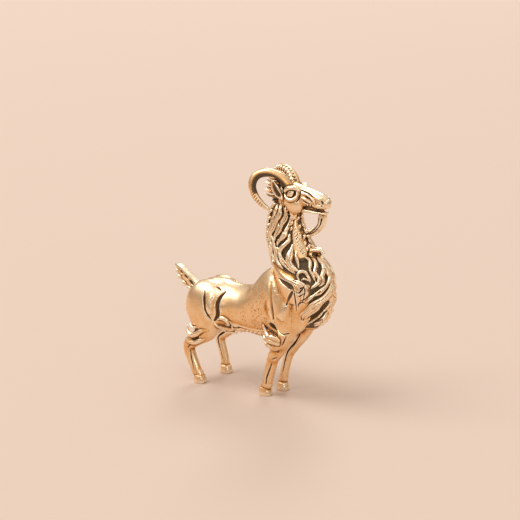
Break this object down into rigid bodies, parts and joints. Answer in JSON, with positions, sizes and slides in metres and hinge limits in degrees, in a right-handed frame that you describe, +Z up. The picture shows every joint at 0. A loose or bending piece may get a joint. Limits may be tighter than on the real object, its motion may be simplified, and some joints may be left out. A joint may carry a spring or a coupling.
{
  "type": "billy goat figurine",
  "caption": "Small solid cast brass billy goat standing with its head high, with long curled-back horns, beard, shaggy mane and raised tail.",
  "frame": {"origin": "on the table under the middle of the figure's bounding box", "axes": "+X the way the goat faces, +Y its left side, +Z up"},
  "size_m": [0.0397, 0.0124, 0.0463],
  "materials": {
    "polished_brass": "polished on the high surfaces, with a dark brown patina left in the grooves",
    "chased_brass": "chased into locks and ridges, bright on the crests, with a dark brown patina between them"
  },
  "bodies": {
    "root": {"trunk": "polished_brass", "head": "polished_brass", "lower_jaw": "polished_brass", "foreleg_right": "polished_brass", "foreleg_left": "polished_brass", "hindleg_right": "polished_brass", "hindleg_left": "polished_brass", "hoof_front_right": "polished_brass", "hoof_front_left": "polished_brass", "hoof_hind_right": "polished_brass", "hoof_hind_left": "polished_brass", "ear_right": "polished_brass", "ear_left": "polished_brass", "neck_mane": "chased_brass", "horn_right": "chased_brass", "horn_left": "chased_brass", "beard": "chased_brass", "chest_tuft": "chased_brass", "belly_tuft": "chased_brass", "tail": "chased_brass", "elbow_tuft_right": "chased_brass", "elbow_tuft_left": "chased_brass", "hock_tuft_right": "chased_brass", "hock_tuft_left": "chased_brass"}
  },
  "joints": []
}
